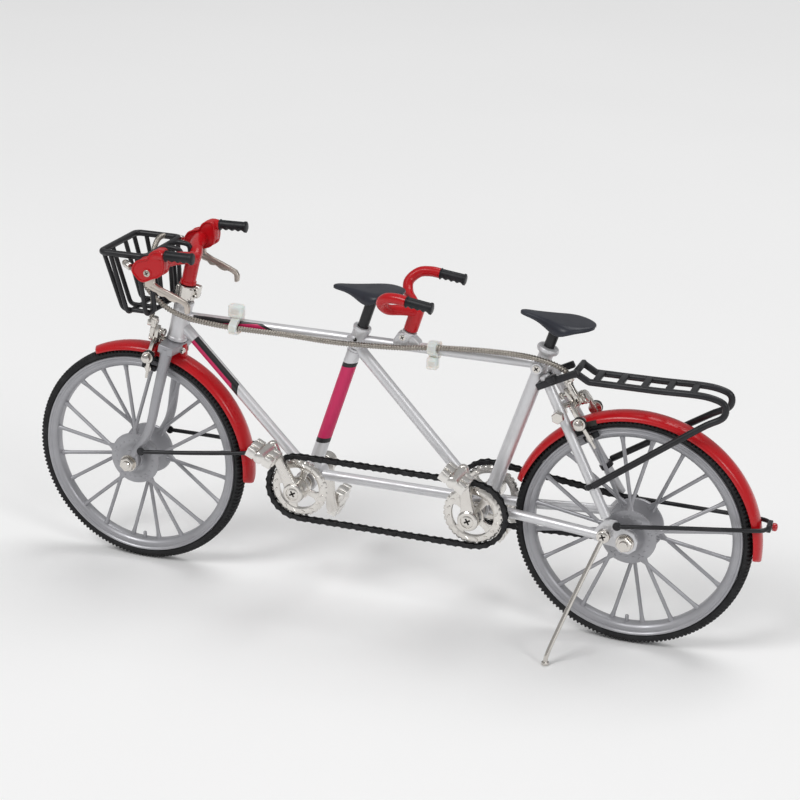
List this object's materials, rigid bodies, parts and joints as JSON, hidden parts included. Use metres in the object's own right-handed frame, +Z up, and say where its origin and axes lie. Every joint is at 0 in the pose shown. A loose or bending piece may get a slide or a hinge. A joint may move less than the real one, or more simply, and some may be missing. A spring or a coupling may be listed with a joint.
{
  "type": "tandem bicycle model",
  "caption": "Small display model of a tandem bicycle: joined frame, spoked wheels, fenders, chain-linked cranks, brake levers and calipers, front basket, rear rack and kickstand.",
  "frame": {"origin": "on the floor under the middle of the overall length, on the plane of the wheels", "axes": "+Z up, -X the way the bicycle rides, -Y its left side"},
  "size_m": [0.227, 0.0469, 0.1052],
  "materials": {
    "silver_paint": "satin silver paint",
    "red_paint": "glossy red paint",
    "cast_grey": "silver-grey cast metal",
    "nickel": "warm nickel plating",
    "black_wire": "satin black coated wire",
    "black_plastic": "matt black plastic",
    "saddle_plastic": "semi-gloss charcoal plastic",
    "tyre_rubber": "black ribbed rubber",
    "chain_black": "black moulded links",
    "cable_braid": "braided grey sleeve",
    "clear_nylon": "translucent white nylon",
    "red_lens": "red lens"
  },
  "bodies": {
    "frame": {"head_tube": "silver_paint", "top_tube": "silver_paint", "down_tube": "silver_paint", "front_seat_tube": "silver_paint", "diagonal_tube": "silver_paint", "bottom_tube": "silver_paint", "rear_seat_tube": "silver_paint", "chainstay_left": "silver_paint", "chainstay_right": "silver_paint", "seatstay_left": "silver_paint", "seatstay_right": "silver_paint", "rear_fender": "red_paint", "rear_fender_stay": "black_wire", "tail_reflector": "red_lens", "rear_rack": "black_wire", "rear_axle": "nickel", "timing_chain": "chain_black", "drive_chain": "chain_black", "rear_brake_cable": "cable_braid", "cable_tie_front": "clear_nylon", "cable_tie_rear": "clear_nylon", "rear_handlebar": "red_paint", "rear_grip_left": "black_plastic", "rear_grip_right": "black_plastic"},
    "steerer": {"fork": "cast_grey", "front_axle": "nickel", "stem_clamp": "nickel", "front_handlebar": "red_paint", "front_grip_left": "black_plastic", "front_grip_right": "black_plastic", "basket": "black_wire", "front_fender": "red_paint", "front_fender_stay": "black_wire", "front_brake_cable": "cable_braid"},
    "front_wheel_set": {"front_wheel": "cast_grey", "front_tyre": "tyre_rubber"},
    "rear_wheel_set": {"rear_wheel": "cast_grey", "rear_tyre": "tyre_rubber"},
    "sprocket": {"rear_sprocket": "nickel"},
    "front_crankset": {"front_crank_axle": "nickel", "front_crank_left": "nickel", "front_crank_right": "nickel"},
    "rear_crankset": {"rear_crank_axle": "nickel", "rear_crank_left": "nickel", "rear_crank_right": "nickel"},
    "front_saddle_set": {"front_seatpost": "black_plastic", "front_saddle": "saddle_plastic"},
    "rear_saddle_set": {"rear_seatpost": "black_plastic", "rear_saddle": "saddle_plastic"},
    "kickstand": {"kickstand": "nickel"},
    "pedal_front_left": {"pedal_front_left": "nickel"},
    "pedal_front_right": {"pedal_front_right": "nickel"},
    "pedal_rear_left": {"pedal_rear_left": "nickel"},
    "pedal_rear_right": {"pedal_rear_right": "nickel"},
    "brake_lever_left": {"brake_lever_left": "nickel"},
    "brake_lever_right": {"brake_lever_right": "nickel"},
    "front_caliper_left": {"front_caliper_left": "nickel"},
    "front_caliper_right": {"front_caliper_right": "nickel"},
    "rear_caliper_left": {"rear_caliper_left": "nickel"},
    "rear_caliper_right": {"rear_caliper_right": "nickel"}
  },
  "joints": [
    {"name": "steer", "type": "hinge", "parent": "frame", "child": "steerer", "pos_m": [-0.06699, 0, 0.07256], "axis": [0.2297, 0, 0.9733], "range_deg": [-35, 35], "deforming": ["rear_brake_cable"]},
    {"name": "front_wheel_spin", "type": "hinge", "parent": "steerer", "child": "front_wheel_set", "pos_m": [-0.07955, 0, 0.034], "axis": [0, -1, 0], "continuous": true},
    {"name": "rear_wheel_spin", "type": "hinge", "parent": "frame", "child": "rear_wheel_set", "pos_m": [0.07345, 0, 0.034], "axis": [0, -1, 0], "continuous": true},
    {"name": "rear_crank_spin", "type": "hinge", "parent": "frame", "child": "rear_crankset", "pos_m": [0.02955, 0, 0.0356], "axis": [0, -1, 0], "continuous": true},
    {"name": "front_crank_spin", "type": "hinge", "parent": "frame", "child": "front_crankset", "pos_m": [-0.02355, 0, 0.0354], "axis": [0, -1, 0], "continuous": true},
    {"name": "sprocket_spin", "type": "hinge", "parent": "frame", "child": "sprocket", "pos_m": [0.07345, 0.0068, 0.034], "axis": [0, -1, 0], "continuous": true},
    {"name": "pedal_front_left_spin", "type": "hinge", "parent": "front_crankset", "child": "pedal_front_left", "pos_m": [-0.03024, -0.02035, 0.04882], "axis": [0, -1, 0], "continuous": true},
    {"name": "pedal_front_right_spin", "type": "hinge", "parent": "front_crankset", "child": "pedal_front_right", "pos_m": [-0.02198, 0.01805, 0.02048], "axis": [0, -1, 0], "continuous": true},
    {"name": "pedal_rear_left_spin", "type": "hinge", "parent": "rear_crankset", "child": "pedal_rear_left", "pos_m": [0.02746, -0.02035, 0.05045], "axis": [0, -1, 0], "continuous": true},
    {"name": "pedal_rear_right_spin", "type": "hinge", "parent": "rear_crankset", "child": "pedal_rear_right", "pos_m": [0.03164, 0.01805, 0.02075], "axis": [0, -1, 0], "continuous": true},
    {"name": "brake_lever_left_pull", "type": "hinge", "parent": "steerer", "child": "brake_lever_left", "pos_m": [-0.06645, -0.017, 0.0975], "axis": [0, -1, 0], "range_deg": [0, 20], "stiffness_Nm_per_rad": 0.001, "springref_deg": -11.46},
    {"name": "brake_lever_right_pull", "type": "hinge", "parent": "steerer", "child": "brake_lever_right", "pos_m": [-0.06645, 0.017, 0.0975], "axis": [0, -1, 0], "range_deg": [0, 20], "stiffness_Nm_per_rad": 0.001, "springref_deg": -11.46},
    {"name": "front_caliper_left_close", "type": "hinge", "parent": "steerer", "child": "front_caliper_left", "pos_m": [-0.06741, 0, 0.0708], "axis": [0.9733, 0, -0.2297], "range_deg": [0, 3]},
    {"name": "front_caliper_right_close", "type": "hinge", "parent": "steerer", "child": "front_caliper_right", "pos_m": [-0.06741, 0, 0.0708], "axis": [-0.9733, 0, 0.2297], "range_deg": [0, 3]},
    {"name": "rear_caliper_left_close", "type": "hinge", "parent": "frame", "child": "rear_caliper_left", "pos_m": [0.05125, 0, 0.0677], "axis": [0.853, 0, 0.522], "range_deg": [0, 3]},
    {"name": "rear_caliper_right_close", "type": "hinge", "parent": "frame", "child": "rear_caliper_right", "pos_m": [0.05125, 0, 0.0677], "axis": [-0.853, 0, -0.522], "range_deg": [0, 3]},
    {"name": "kickstand_swing", "type": "hinge", "parent": "frame", "child": "kickstand", "pos_m": [0.06785, -0.0115, 0.0362], "axis": [0, -1, 0], "range_deg": [0, 95]},
    {"name": "front_saddle_height", "type": "slide", "parent": "frame", "child": "front_saddle_set", "axis": [0.3108, 0, 0.9505], "range_m": [-0.003, 0.006]},
    {"name": "rear_saddle_height", "type": "slide", "parent": "frame", "child": "rear_saddle_set", "axis": [0.3108, 0, 0.9505], "range_m": [-0.003, 0.006]}
  ],
  "couplings": [
    {"joint": "front_crank_spin", "follows": "rear_crank_spin", "ratio": 1},
    {"joint": "sprocket_spin", "follows": "rear_crank_spin", "ratio": 1.6827},
    {"joint": "rear_caliper_left_close", "follows": "brake_lever_left_pull", "ratio": 0.125},
    {"joint": "rear_caliper_right_close", "follows": "brake_lever_left_pull", "ratio": 0.125},
    {"joint": "front_caliper_left_close", "follows": "brake_lever_right_pull", "ratio": 0.125},
    {"joint": "front_caliper_right_close", "follows": "brake_lever_right_pull", "ratio": 0.125}
  ]
}
